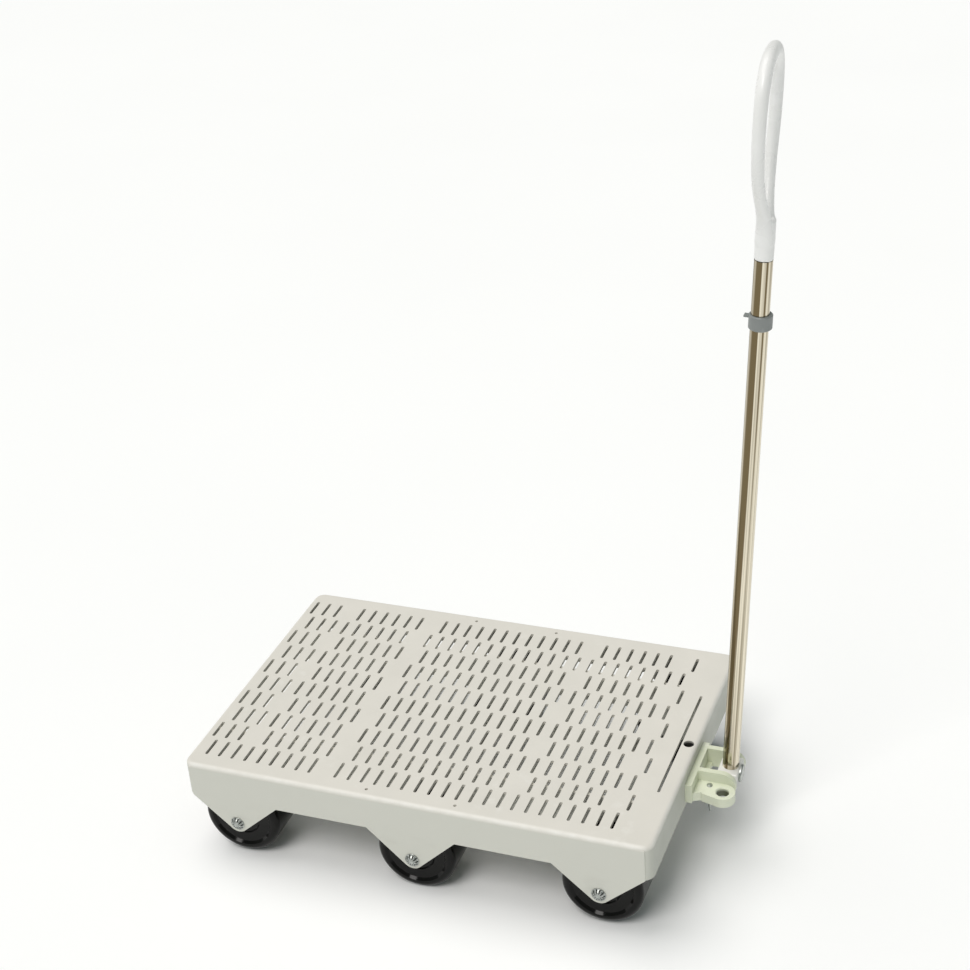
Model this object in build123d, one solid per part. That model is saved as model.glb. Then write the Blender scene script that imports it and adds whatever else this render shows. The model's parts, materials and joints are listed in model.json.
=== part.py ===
from build123d import *
import os

# Six-wheel moulded platform cart with a tipping pull handle.
# Millimetres, +Z up, Z = 0 at the floor under the middle wheels, +X towards the handle.
# The pieces are laid out from the middle of the deck, then moved along X so that the
# origin is in the middle of the whole cart.

# ---- deck moulding ----
DECK_LENGTH = 600.0
DECK_WIDTH = 400.0
DECK_CORNER_RADIUS = 14.0
DECK_EDGE_ROUND = 5.0
DECK_WALL = 4.0
DECK_PLATE = 4.0
SKIRT_DEPTH = 48.0
END_SKIRT_LIFT = 9.0            # how much shorter the end skirts are in their middle
END_LIFT_HALF_WIDTH = 100.0
END_LIFT_SLOPE = 26.0
LOBE_HALF_WIDTH = 57.0          # V-shaped axle lobes on the skirts and cheeks
LOBE_TIP_RADIUS = 13.0
CHEEK_PLACE = 79.0              # outer side of an inner cheek, in from the side of the deck
RIB_DEPTH = 30.0
RIB_SPACING = 117.5
RIB_WALL = 3.0
CENTRE_RIB_DEPTH = 22.0

# ---- openings in the deck ----
DRAIN_LENGTH = 30.0
DRAIN_WIDTH = 4.0
DRAIN_PITCH_X = 17.5
DRAIN_PITCH_Y = 36.0
DRAIN_ROWS = 10
DRAIN_START = 21.0              # first drain slot of an even row, in from the -X end
DRAIN_STAGGER = 9.0
DRAIN_CLEAR_END = 44.0          # plain border at the handle end
DRAIN_CLEAR_RIB = 1.2           # least wall between a drain slot and a cross rib
GROOVE_PLACE = 20.5             # long slot beside the handle end
GROOVE_LENGTH = 198.0
GROOVE_WIDTH = 3.5
COUPLING_PLACE = 10.3           # vertical coupling hole, in from the handle end
COUPLING_BORE = 13.0
COUPLING_BOSS_WALL = 1.5
VENT_BORE = 4.0                 # small vents over the ends of the middle lobes
VENT_INSET = 13.0

# ---- axles and wheels ----
AXLE_SPACING = 235.0
AXLE_DROP = 81.5                # outer axles under the deck's top
MIDDLE_AXLE_EXTRA_DROP = 3.5    # the middle pair carries the cart, so that it turns easily
AXLE_DIAMETER = 12.0
AXLE_SEAT_CLEARANCE = 0.05
AXLE_STUB = 3.0                 # axle beyond the skirt, inside its star lock
WHEEL_RADIUS = 50.0
WHEEL_WIDTH = 66.0
WHEEL_SHOULDER = 8.0
WHEEL_BACK_SHOULDER = 4.0
WHEEL_INSET = 9.0               # outer face of a wheel, in from the side of the deck
WHEEL_RIM_FACE = 10.0           # flat of the rim, in from the tread to where the dished face begins
WHEEL_FACE_DISH = 3.0
WHEEL_HUB_RING = 24.0
WHEEL_HUB_RING_WIDTH = 2.5
WHEEL_RECESS_DEPTH = 30.0
WHEEL_RIM_WALL = 6.0
WHEEL_HUB_RADIUS = 12.5
WHEEL_SPOKES = 6
WHEEL_SPOKE_WIDTH = 4.0
WHEEL_BORE_CLEARANCE = 0.06
SPACER_RADIUS = 9.0
SPACER_CLEARANCE = 0.3
STAR_LOCK_RADIUS = 9.0
STAR_LOCK_RIM = 1.2
STAR_LOCK_DOME = 4.2
STAR_LOCK_TEETH = 10
STAR_LOCK_TOOTH = 1.5

# ---- handle bracket, measured out from the end of the deck and down from its top ----
PIVOT_OUT = 41.0
PIVOT_DROP = 33.0
PIVOT_PIN_DIAMETER = 8.0
PIVOT_CLEARANCE = 0.05
PIVOT_PIN_BLIND = 2.0           # wall left outside the blind end of the pin
BRACKET_TOP_DROP = 17.0
BRACKET_BOTTOM_DROP = 43.0
BRACKET_PLATE = 8.0
BRACKET_NEAR_REACH = 57.0       # how far the back plate reaches towards -Y
BRACKET_FAR_REACH = 30.0
CHEEK_INNER = 19.0              # inner faces of the two ears beside the knuckle
CHEEK_WALL = 7.0
CHEEK_ROUND = 18.0
CHEEK_ROUND_OUT = 36.0
WEB_LENGTH = 14.0
WEB_WALL = 6.0
ARM_TOP_DROP = 31.0
ARM_KINK_OUT = 30.0
ARM_KINK_REACH = 42.0
LUG_OUT = 42.0
LUG_REACH = 41.0
LUG_RADIUS = 15.0
LUG_BORE = 15.5
LUG_CHAMFER = 1.2
LUG_ROOT_OUT = 18.0
BRACKET_SCREW_DIAMETER = 6.0
BRACKET_SCREW_HEAD = 12.0
BRACKET_SCREW_HEAD_HEIGHT = 4.0
BRACKET_SCREW_DEPTH = 6.0       # how far a screw goes into the bracket
BRACKET_SCREW_DROP = 29.0
BRACKET_SCREW_NEAR = 36.0
BRACKET_SCREW_FAR = 20.0
LOCK_PIN_DIAMETER = 4.0
LOCK_PIN_OUT = 24.0
LOCK_PIN_REACH = 33.0
LOCK_PIN_TAIL = 27.0            # how far the pin hangs below the bracket
LOCK_PIN_POINT = 8.0
LOCK_PIN_TIP = 0.8
LOCK_PIN_HEAD = 7.0
LOCK_PIN_HEAD_HEIGHT = 1.5

# ---- handle, measured along its own axis from the pivot ----
HANDLE_LEAN = 3.3               # degrees away from the deck
TUBE_DIAMETER = 20.0
TUBE_WALL = 1.5
KNUCKLE_CLEARANCE = 0.5
KNUCKLE_BARREL = 12.0
KNUCKLE_BACK = 13.0             # knuckle's faces towards and away from the deck
KNUCKLE_FRONT = 12.5
KNUCKLE_TOP = 12.0
KNUCKLE_EDGE = 2.5
SPIGOT_CLEARANCE = 0.1
SPIGOT_LENGTH = 45.0
CAP_SCREW_RADIUS = 11.0
CAP_SCREW_HEAD = 3.2
CAP_SCREW_SHANK = 5.0
CAP_SCREW_REACH = 6.0
CAP_SCREW_RISE = 3.0
COLLAR_PLACE = 605.0
COLLAR_HEIGHT = 16.5
COLLAR_WALL = 1.9
COLLAR_BACK_WALL = 3.6
COLLAR_CLEARANCE = 0.1
COLLAR_TONGUE = 5.0
COLLAR_TONGUE_WALL = 2.0
COLLAR_TONGUE_WIDTH = 7.0
SLEEVE_LENGTH = 70.0
GRIP_PLACE = 675.0
GRIP_STEM_DIAMETER = 21.0
GRIP_PLUG_LENGTH = 35.0
GRIP_HEIGHT = 226.0
GRIP_HALF_WIDTH = 62.0
GRIP_LIMB = 14.0
GRIP_THICKNESS = 15.0
GRIP_CROTCH = 46.0
GRIP_WIDEST = 140.0             # height of the widest place of the loop
GRIP_TOP_BAR = 17.0
GRIP_STEM_LENGTH = 15.0
GRIP_FLARE_OUT = 20.0           # outline's flare, out from the stem and up from the crotch
GRIP_FLARE_RISE = 14.0
GRIP_WINDOW_FLARE_OUT = 22.0    # window's flare, out from the middle and up from the crotch
GRIP_WINDOW_FLARE_RISE = 30.0
GRIP_SHOULDER = 0.74            # share of the half width at the shoulders
GRIP_SHOULDER_DROP = 22.0
GRIP_WINDOW_SHOULDER_DROP = 16.0
GRIP_EDGE = 4.0
GRIP_TWIST = 4.0                # degrees about the tube

# ---- worked out ----
DECK_TOP = WHEEL_RADIUS + MIDDLE_AXLE_EXTRA_DROP + AXLE_DROP
HALF_LENGTH = DECK_LENGTH / 2
HALF_WIDTH = DECK_WIDTH / 2
CHEEK_Y = HALF_WIDTH - CHEEK_PLACE
TUBE_BORE = TUBE_DIAMETER - 2 * TUBE_WALL
SPIGOT_DIAMETER = TUBE_BORE - 2 * SPIGOT_CLEARANCE
BORE_DIAMETER = AXLE_DIAMETER + 2 * AXLE_SEAT_CLEARANCE
RIB_PLACES = (-2 * RIB_SPACING, -RIB_SPACING, RIB_SPACING, 2 * RIB_SPACING)
STATIONS = {"rear": -AXLE_SPACING, "middle": 0.0, "front": AXLE_SPACING}
PIVOT = Vector(HALF_LENGTH + PIVOT_OUT, 0, DECK_TOP - PIVOT_DROP)


def axle_height(station):
    """Height of a station's axle above the floor."""
    drop = AXLE_DROP
    if station == "middle":
        drop += MIDDLE_AXLE_EXTRA_DROP
    return DECK_TOP - drop


def prism(points, depth, plane):
    """Straight block on a closed outline, drawn on a plane and raised along its normal."""
    return extrude(plane * Polygon(*points, align=None), depth)


def rod(start, end, radius):
    """Round bar from one point to another."""
    start, end = Vector(*start), Vector(*end)
    return extrude(Plane(start, z_dir=end - start) * Circle(radius), (end - start).length)


def across(y):
    """Drawing plane square to Y: x to the right, height upward, raised towards -Y."""
    return Plane(origin=(0, y, 0), x_dir=(1, 0, 0), z_dir=(0, -1, 0))


# ------------------------------------------------------------------ deck


def lobe(station, y_far):
    """One V-shaped plate that hangs from the deck and holds an axle, from its +Y side."""
    x = STATIONS[station]
    top = DECK_TOP - DECK_PLATE
    shoulder = DECK_TOP - SKIRT_DEPTH
    tip = Pos(x, axle_height(station)) * Circle(LOBE_TIP_RADIUS)
    block = Polygon(
        (x - LOBE_HALF_WIDTH, shoulder), (x + LOBE_HALF_WIDTH, shoulder),
        (x + LOBE_HALF_WIDTH, top), (x - LOBE_HALF_WIDTH, top), align=None)
    outline = make_hull(tip.edges() + block.edges())
    return extrude(across(y_far) * outline, DECK_WALL)


def over_rib(x):
    """Whether a drain slot at x would lie over a cross rib, or too near one."""
    least = (RIB_WALL + DRAIN_WIDTH) / 2 + DRAIN_CLEAR_RIB
    return any(abs(x - rib) < least for rib in RIB_PLACES)


def drain_slots():
    """Staggered rows of narrow drain slots through the plate, left out over the cross ribs."""
    first = -HALF_LENGTH + DRAIN_START
    last = HALF_LENGTH - DRAIN_CLEAR_END
    row_start = -DRAIN_PITCH_Y * (DRAIN_ROWS - 1) / 2
    slots = []
    for row in range(DRAIN_ROWS):
        x = first - DRAIN_STAGGER * (row % 2)
        while x < last:
            if not over_rib(x):
                place = Pos(x, row_start + row * DRAIN_PITCH_Y)
                slots.append(place * SlotOverall(DRAIN_LENGTH, DRAIN_WIDTH, rotation=90))
            x += DRAIN_PITCH_X
    return slots


def deck_openings():
    """Everything that goes through the plate: drains, long slot, coupling hole and vents."""
    faces = drain_slots()
    faces.append(Pos(HALF_LENGTH - GROOVE_PLACE, 0) * SlotOverall(GROOVE_LENGTH, GROOVE_WIDTH, rotation=90))
    for x in (-LOBE_HALF_WIDTH, LOBE_HALF_WIDTH):
        for y in (-HALF_WIDTH + VENT_INSET, HALF_WIDTH - VENT_INSET):
            faces.append(Pos(x, y) * Circle(VENT_BORE / 2))
    low = Pos(0, 0, DECK_TOP - DECK_PLATE)
    return [extrude(low * face, DECK_PLATE) for face in faces]


def coupling_hole():
    """Bore and boss of the vertical coupling hole near the handle end."""
    place = Pos(HALF_LENGTH - COUPLING_PLACE, 0, DECK_TOP - SKIRT_DEPTH + END_SKIRT_LIFT)
    depth = SKIRT_DEPTH - END_SKIRT_LIFT
    boss = place * extrude(Circle(COUPLING_BORE / 2 + COUPLING_BOSS_WALL), depth - DECK_PLATE / 2)
    bore = place * extrude(Circle(COUPLING_BORE / 2), depth)
    return boss, bore


def ribs():
    """Inner cheeks along the wheels, cross ribs between them and one rib on the centre line."""
    top = DECK_TOP - DECK_PLATE
    inside = DECK_LENGTH - 2 * DECK_WALL
    depth = SKIRT_DEPTH - DECK_PLATE
    pieces = []
    for side in (-1, 1):
        y = side * (CHEEK_Y - DECK_WALL / 2)
        pieces.append(Pos(0, y, top - depth / 2) * Box(inside, DECK_WALL, depth))
        pieces += [lobe(station, y + DECK_WALL / 2) for station in STATIONS]
    for x in RIB_PLACES:
        pieces.append(Pos(x, 0, top - RIB_DEPTH / 2) * Box(RIB_WALL, 2 * CHEEK_Y - DECK_WALL, RIB_DEPTH))
    pieces.append(Pos(0, 0, top - CENTRE_RIB_DEPTH / 2) * Box(2 * AXLE_SPACING, RIB_WALL, CENTRE_RIB_DEPTH))
    return pieces


def end_lift():
    """Cutter that shortens both end skirts in their middle."""
    full = DECK_TOP - SKIRT_DEPTH
    lifted = full + END_SKIRT_LIFT
    foot = END_LIFT_HALF_WIDTH + END_LIFT_SLOPE
    outline = ((-foot, full), (-END_LIFT_HALF_WIDTH, lifted), (END_LIFT_HALF_WIDTH, lifted), (foot, full))
    plane = Plane(origin=(-DECK_LENGTH, 0, 0), x_dir=(0, 1, 0), z_dir=(1, 0, 0))
    return prism(outline, 2 * DECK_LENGTH, plane)


def deck():
    """The deck: plate, skirts with axle lobes, cheeks and ribs in one moulding."""
    low = Pos(0, 0, DECK_TOP - SKIRT_DEPTH)
    block = low * extrude(RectangleRounded(DECK_LENGTH, DECK_WIDTH, DECK_CORNER_RADIUS), SKIRT_DEPTH)
    block = fillet(block.faces().sort_by(Axis.Z)[-1].edges(), DECK_EDGE_ROUND)
    inner_radius = DECK_CORNER_RADIUS - DECK_WALL
    inner = RectangleRounded(DECK_LENGTH - 2 * DECK_WALL, DECK_WIDTH - 2 * DECK_WALL, inner_radius)
    block -= low * extrude(inner, SKIRT_DEPTH - DECK_PLATE)
    block += ribs()
    block += [lobe(station, -HALF_WIDTH + DECK_WALL) for station in STATIONS]
    block += [lobe(station, HALF_WIDTH) for station in STATIONS]
    boss, bore = coupling_hole()
    block = block + boss - bore - end_lift()
    block -= deck_openings()
    for station, x in STATIONS.items():
        z = axle_height(station)
        block -= rod((x, -DECK_WIDTH, z), (x, DECK_WIDTH, z), BORE_DIAMETER / 2)
    for y in (-BRACKET_SCREW_NEAR, BRACKET_SCREW_FAR):
        block -= bracket_screw_bar(y, BRACKET_SCREW_DIAMETER / 2 + AXLE_SEAT_CLEARANCE)
    return block


# ------------------------------------------------------------------ wheels and axles


def axle(station):
    """Plain steel bar right across the cart, with small chamfers."""
    x, z = STATIONS[station], axle_height(station)
    end = HALF_WIDTH + AXLE_STUB
    bar = rod((x, -end, z), (x, end, z), AXLE_DIAMETER / 2)
    return chamfer(bar.edges().filter_by(GeomType.CIRCLE), STAR_LOCK_RIM / 2)


def star_lock(x, z, side):
    """Star-lock cap: a domed disc with a toothed rim, pushed on the end of an axle."""
    face = Plane(origin=(x, side * HALF_WIDTH, z), x_dir=(1, 0, 0), z_dir=(0, side, 0))
    bore = AXLE_DIAMETER / 2 + AXLE_SEAT_CLEARANCE
    rim = extrude(face * Circle(STAR_LOCK_RADIUS), STAR_LOCK_RIM)
    dome = extrude(face * Circle(bore + STAR_LOCK_RIM), STAR_LOCK_DOME)
    outward = Axis(face.origin, face.z_dir)
    crown = dome.edges().filter_by(GeomType.CIRCLE).sort_by(outward)[-1:]
    dome = fillet(crown, STAR_LOCK_RIM / 2)
    for step in range(STAR_LOCK_TEETH):
        turn = Rot(0, 0, step * 360 / STAR_LOCK_TEETH)
        notch = turn * Pos(STAR_LOCK_RADIUS, 0) * Rectangle(2 * STAR_LOCK_TOOTH, STAR_LOCK_TOOTH)
        rim -= extrude(face * notch, STAR_LOCK_RIM)
    return rim + dome - extrude(face * Circle(bore), AXLE_STUB)


def wheel_profile():
    """Half section of a wheel: x is the radius, y runs from its outer face inward."""
    bore = AXLE_DIAMETER / 2 + WHEEL_BORE_CLEARANCE
    rim_inside = WHEEL_RADIUS - WHEEL_RIM_WALL
    rim_start = WHEEL_RADIUS - WHEEL_RIM_FACE
    ring = WHEEL_HUB_RING
    outline = (
        (bore, 0), (WHEEL_HUB_RADIUS, 0), (WHEEL_HUB_RADIUS, WHEEL_FACE_DISH),
        (ring - WHEEL_HUB_RING_WIDTH, WHEEL_FACE_DISH), (ring - WHEEL_HUB_RING_WIDTH / 2, WHEEL_FACE_DISH / 2),
        (ring, WHEEL_FACE_DISH), (rim_start - WHEEL_FACE_DISH, WHEEL_FACE_DISH), (rim_start, 0),
        (WHEEL_RADIUS, 0), (WHEEL_RADIUS, WHEEL_WIDTH), (rim_inside, WHEEL_WIDTH),
        (rim_inside, WHEEL_WIDTH - WHEEL_RECESS_DEPTH), (WHEEL_HUB_RADIUS, WHEEL_WIDTH - WHEEL_RECESS_DEPTH),
        (WHEEL_HUB_RADIUS, WHEEL_WIDTH), (bore, WHEEL_WIDTH))
    return Polygon(*outline, align=None)


def wheel(station, side):
    """Moulded wheel: rounded tread, dished outer face with a raised ring, spokes on the back."""
    profile = wheel_profile()
    profile = fillet(profile.vertices().sort_by_distance((WHEEL_RADIUS, 0))[0], WHEEL_SHOULDER)
    profile = fillet(profile.vertices().sort_by_distance((WHEEL_RADIUS, WHEEL_WIDTH))[0], WHEEL_BACK_SHOULDER)
    body = revolve(Plane.XZ * profile, Axis.Z)
    back = WHEEL_WIDTH - WHEEL_RECESS_DEPTH
    reach = WHEEL_RADIUS - WHEEL_RIM_WALL - WHEEL_HUB_RADIUS
    spoke = Pos(WHEEL_HUB_RADIUS + reach / 2, 0, back + WHEEL_RECESS_DEPTH / 4)
    spoke *= Box(reach + WHEEL_RIM_WALL / 2, WHEEL_SPOKE_WIDTH, WHEEL_RECESS_DEPTH / 2)
    body += [Rot(0, 0, step * 360 / WHEEL_SPOKES) * spoke for step in range(WHEEL_SPOKES)]
    outer = Plane(
        origin=(STATIONS[station], side * (HALF_WIDTH - WHEEL_INSET), axle_height(station)),
        x_dir=(1, 0, 0), z_dir=(0, -side, 0))
    return outer.location * body


def spacers(station):
    """Four plain spacers on an axle: one each side of each wheel."""
    x, z = STATIONS[station], axle_height(station)
    outer_gap = (HALF_WIDTH - DECK_WALL, HALF_WIDTH - WHEEL_INSET + SPACER_CLEARANCE)
    inner_gap = (HALF_WIDTH - WHEEL_INSET - WHEEL_WIDTH - SPACER_CLEARANCE, CHEEK_Y)
    rings = []
    for side in (-1, 1):
        for start, end in (outer_gap, inner_gap):
            ring = rod((x, side * start, z), (x, side * end, z), SPACER_RADIUS)
            ring -= rod((x, side * start, z), (x, side * end, z), BORE_DIAMETER / 2)
            rings.append(ring)
    return rings


# ------------------------------------------------------------------ bracket


def bracket_screw_bar(y, radius):
    """Round bar of a bracket screw, from inside the end skirt into the bracket."""
    z = DECK_TOP - BRACKET_SCREW_DROP
    start = (HALF_LENGTH - DECK_WALL, y, z)
    return rod(start, (HALF_LENGTH + BRACKET_SCREW_DEPTH, y, z), radius)


def bracket_screws():
    """Two screws that hold the bracket, with their heads inside the end skirt."""
    screws = []
    for y in (-BRACKET_SCREW_NEAR, BRACKET_SCREW_FAR):
        z = DECK_TOP - BRACKET_SCREW_DROP
        x = HALF_LENGTH - DECK_WALL
        head = rod((x, y, z), (x - BRACKET_SCREW_HEAD_HEIGHT, y, z), BRACKET_SCREW_HEAD / 2)
        screws.append(head + bracket_screw_bar(y, BRACKET_SCREW_DIAMETER / 2))
    return screws


def ear(y_far):
    """One rounded upright ear of the bracket, which carries the pivot pin, from its +Y side."""
    x, top = HALF_LENGTH, DECK_TOP - BRACKET_TOP_DROP
    low = DECK_TOP - BRACKET_BOTTOM_DROP
    centre = Pos(x + CHEEK_ROUND_OUT, top - CHEEK_ROUND) * Circle(CHEEK_ROUND)
    root = Polygon((x, low), (x + WEB_LENGTH, low), (x + WEB_LENGTH, top), (x, top), align=None)
    outline = make_hull(centre.edges() + root.edges())
    floor = Polygon((x, 0), (x + DECK_WIDTH, 0), (x + DECK_WIDTH, low), (x, low), align=None)
    return extrude(across(y_far) * (outline - floor), CHEEK_WALL)


def arm():
    """Sloping arm towards -Y with a round coupling lug at its end."""
    x = HALF_LENGTH
    top, low = DECK_TOP - ARM_TOP_DROP, DECK_TOP - BRACKET_BOTTOM_DROP
    ear_outside = -CHEEK_INNER - CHEEK_WALL
    outline = (
        (x, -BRACKET_NEAR_REACH), (x + ARM_KINK_OUT, -ARM_KINK_REACH),
        (x + CHEEK_ROUND_OUT + WEB_WALL, ear_outside - WEB_WALL),
        (x + CHEEK_ROUND_OUT + WEB_WALL, ear_outside), (x, ear_outside))
    block = prism(outline, top - low, Plane.XY.offset(low))
    tip = Pos(x + LUG_OUT, -LUG_REACH) * Circle(LUG_RADIUS)
    root = Line((x + LUG_ROOT_OUT, -BRACKET_NEAR_REACH + CHEEK_WALL), (x + LUG_ROOT_OUT, ear_outside))
    lug = extrude(Pos(0, 0, low) * make_hull(tip.edges() + [root]), top - low)
    clear = Pos(x + LUG_OUT, -LUG_REACH, low) * Cylinder(
        LUG_BORE / 2, top - low, align=(Align.CENTER, Align.CENTER, Align.MIN))
    sink = Pos(x + LUG_OUT, -LUG_REACH, top - LUG_CHAMFER) * Cone(
        LUG_BORE / 2, LUG_BORE / 2 + LUG_CHAMFER, LUG_CHAMFER, align=(Align.CENTER, Align.CENTER, Align.MIN))
    trim = Pos(0, ear_outside + DECK_WIDTH / 2, 0) * Box(2 * DECK_LENGTH, DECK_WIDTH, 2 * DECK_TOP)
    return block + (lug - trim) - clear - sink


def bracket():
    """Handle bracket: back plate, two ears, web and coupling arm in one moulding."""
    top, low = DECK_TOP - BRACKET_TOP_DROP, DECK_TOP - BRACKET_BOTTOM_DROP
    width = BRACKET_NEAR_REACH + BRACKET_FAR_REACH
    middle_y = (BRACKET_FAR_REACH - BRACKET_NEAR_REACH) / 2
    plate = Pos(HALF_LENGTH + BRACKET_PLATE / 2, middle_y, (top + low) / 2) * Box(BRACKET_PLATE, width, top - low)
    web = Pos(HALF_LENGTH + WEB_LENGTH / 2, 0, low + WEB_WALL / 2) * Box(WEB_LENGTH, 2 * CHEEK_INNER, WEB_WALL)
    body = plate + web + ear(-CHEEK_INNER) + ear(CHEEK_INNER + CHEEK_WALL) + arm()
    pin_start, pin_end = pivot_pin_ends()
    body -= rod(pin_start, pin_end, PIVOT_PIN_DIAMETER / 2 + PIVOT_CLEARANCE)
    for y in (-BRACKET_SCREW_NEAR, BRACKET_SCREW_FAR):
        body -= bracket_screw_bar(y, BRACKET_SCREW_DIAMETER / 2 + PIVOT_CLEARANCE)
    lock_x, lock_y = HALF_LENGTH + LOCK_PIN_OUT, -LOCK_PIN_REACH
    lock_hole = LOCK_PIN_DIAMETER / 2 + PIVOT_CLEARANCE
    body -= rod((lock_x, lock_y, low), (lock_x, lock_y, DECK_TOP - ARM_TOP_DROP), lock_hole)
    return body


def lock_pin():
    """Upright pin through the arm, with a flat head and a long pointed tail."""
    x, y = HALF_LENGTH + LOCK_PIN_OUT, -LOCK_PIN_REACH
    top = DECK_TOP - ARM_TOP_DROP
    low = DECK_TOP - BRACKET_BOTTOM_DROP - LOCK_PIN_TAIL
    shank = rod((x, y, low + LOCK_PIN_POINT), (x, y, top), LOCK_PIN_DIAMETER / 2)
    point = Pos(x, y, low) * Cone(
        LOCK_PIN_TIP, LOCK_PIN_DIAMETER / 2, LOCK_PIN_POINT, align=(Align.CENTER, Align.CENTER, Align.MIN))
    head = rod((x, y, top), (x, y, top + LOCK_PIN_HEAD_HEIGHT), LOCK_PIN_HEAD / 2)
    head = fillet(head.edges().sort_by(Axis.Z)[-1:], LOCK_PIN_HEAD_HEIGHT / 2)
    return shank + point + head


def pivot_pin_ends():
    """Ends of the handle's pivot pin: blind in the near ear, through the far one."""
    near = -CHEEK_INNER - CHEEK_WALL + PIVOT_PIN_BLIND
    far = CHEEK_INNER + CHEEK_WALL + AXLE_STUB
    return (PIVOT.X, near, PIVOT.Z), (PIVOT.X, far, PIVOT.Z)


def pivot_pin():
    """Plain steel pin that the handle tips on."""
    start, end = pivot_pin_ends()
    return rod(start, end, PIVOT_PIN_DIAMETER / 2)


def pivot_cap():
    """Domed push-on cap at the far end of the pivot pin."""
    y = CHEEK_INNER + CHEEK_WALL
    bore = PIVOT_PIN_DIAMETER / 2 + PIVOT_CLEARANCE
    rim = rod((PIVOT.X, y, PIVOT.Z), (PIVOT.X, y + STAR_LOCK_RIM, PIVOT.Z), bore + 2 * STAR_LOCK_RIM)
    dome = rod((PIVOT.X, y, PIVOT.Z), (PIVOT.X, y + STAR_LOCK_DOME, PIVOT.Z), bore + STAR_LOCK_RIM)
    return rim + dome - rod((PIVOT.X, y, PIVOT.Z), (PIVOT.X, y + AXLE_STUB, PIVOT.Z), bore)


# ------------------------------------------------------------------ handle
# Drawn upright with the pivot at the origin, then leant and moved to the pivot.


def ring(low, height, outer, inner):
    """Round sleeve about the handle's axis."""
    align = (Align.CENTER, Align.CENTER, Align.MIN)
    return Pos(0, 0, low) * (Cylinder(outer, height, align=align) - Cylinder(inner, height, align=align))


def knuckle():
    """White knuckle: barrel on the pivot pin, shoulder under the tube and spigot inside it."""
    half = CHEEK_INNER - KNUCKLE_CLEARANCE
    barrel = rod((0, -half, 0), (0, half, 0), KNUCKLE_BARREL)
    block = Pos((KNUCKLE_FRONT - KNUCKLE_BACK) / 2, 0, KNUCKLE_TOP / 2) * Box(
        KNUCKLE_FRONT + KNUCKLE_BACK, 2 * half, KNUCKLE_TOP)
    block = fillet(block.edges().filter_by(Axis.Z), KNUCKLE_EDGE)
    block = chamfer(block.faces().sort_by(Axis.Z)[-1].edges(), KNUCKLE_EDGE / 2)
    spigot = Pos(0, 0, KNUCKLE_TOP) * Cylinder(
        SPIGOT_DIAMETER / 2, SPIGOT_LENGTH, align=(Align.CENTER, Align.CENTER, Align.MIN))
    spigot = chamfer(spigot.edges().sort_by(Axis.Z)[-1:], TUBE_WALL)
    body = barrel + block + spigot
    body -= rod((0, -half, 0), (0, half, 0), PIVOT_PIN_DIAMETER / 2 + PIVOT_CLEARANCE)
    seat = KNUCKLE_FRONT
    body -= Pos(seat + CHEEK_WALL, 0, 0) * Box(2 * CHEEK_WALL, 4 * half, 4 * half)
    return body - rod(
        (seat - CAP_SCREW_REACH, 0, CAP_SCREW_RISE), (seat, 0, CAP_SCREW_RISE),
        CAP_SCREW_SHANK / 2 + PIVOT_CLEARANCE)


def cap_screw():
    """Broad-headed screw on the outer face of the knuckle."""
    x = KNUCKLE_FRONT
    head = rod((x, 0, CAP_SCREW_RISE), (x + CAP_SCREW_HEAD, 0, CAP_SCREW_RISE), CAP_SCREW_RADIUS)
    head = fillet(head.edges().sort_by(Axis.X)[-1:], CAP_SCREW_HEAD / 2)
    return head + rod((x - CAP_SCREW_REACH, 0, CAP_SCREW_RISE), (x, 0, CAP_SCREW_RISE), CAP_SCREW_SHANK / 2)


def lower_tube():
    """Long steel tube from the knuckle to the middle of the collar."""
    return ring(KNUCKLE_TOP, COLLAR_PLACE - KNUCKLE_TOP, TUBE_DIAMETER / 2, TUBE_BORE / 2)


def upper_tube():
    """Short steel tube from the middle of the collar to the grip."""
    return ring(COLLAR_PLACE, GRIP_PLACE - COLLAR_PLACE, TUBE_DIAMETER / 2, TUBE_BORE / 2)


def joint_sleeve():
    """Plug inside both tubes, hidden behind the collar."""
    low = COLLAR_PLACE - SLEEVE_LENGTH / 2
    inner = SPIGOT_DIAMETER / 2 - 2 * TUBE_WALL
    return ring(low, SLEEVE_LENGTH, SPIGOT_DIAMETER / 2, inner)


def tube_collar():
    """Grey clip collar over the joint of the two tubes, thicker away from the deck."""
    bore = TUBE_DIAMETER / 2 + COLLAR_CLEARANCE
    low = COLLAR_PLACE - COLLAR_HEIGHT / 2
    shift = (COLLAR_BACK_WALL - COLLAR_WALL) / 2
    outer = bore + (COLLAR_WALL + COLLAR_BACK_WALL) / 2
    align = (Align.CENTER, Align.CENTER, Align.MIN)
    body = Pos(shift, 0, low) * Cylinder(outer, COLLAR_HEIGHT, align=align)
    body = chamfer(body.edges().filter_by(GeomType.CIRCLE), COLLAR_WALL / 2)
    tongue_x = -bore - COLLAR_WALL - COLLAR_TONGUE / 2 + COLLAR_WALL / 2
    tongue_z = low + COLLAR_HEIGHT - 2 * COLLAR_TONGUE_WALL
    body += Pos(tongue_x, 0, tongue_z) * Box(
        COLLAR_TONGUE + COLLAR_WALL, COLLAR_TONGUE_WIDTH, COLLAR_TONGUE_WALL)
    return body - Pos(0, 0, low) * Cylinder(bore, COLLAR_HEIGHT, align=align)


def mirrored(curve, foot):
    """Closed face on both sides of the stem line, from its right-hand curve and the points that close it."""
    half = make_face([curve, Polyline(tuple(curve @ 1)[:2], *foot)])
    return half + mirror(half, Plane.YZ)


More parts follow.
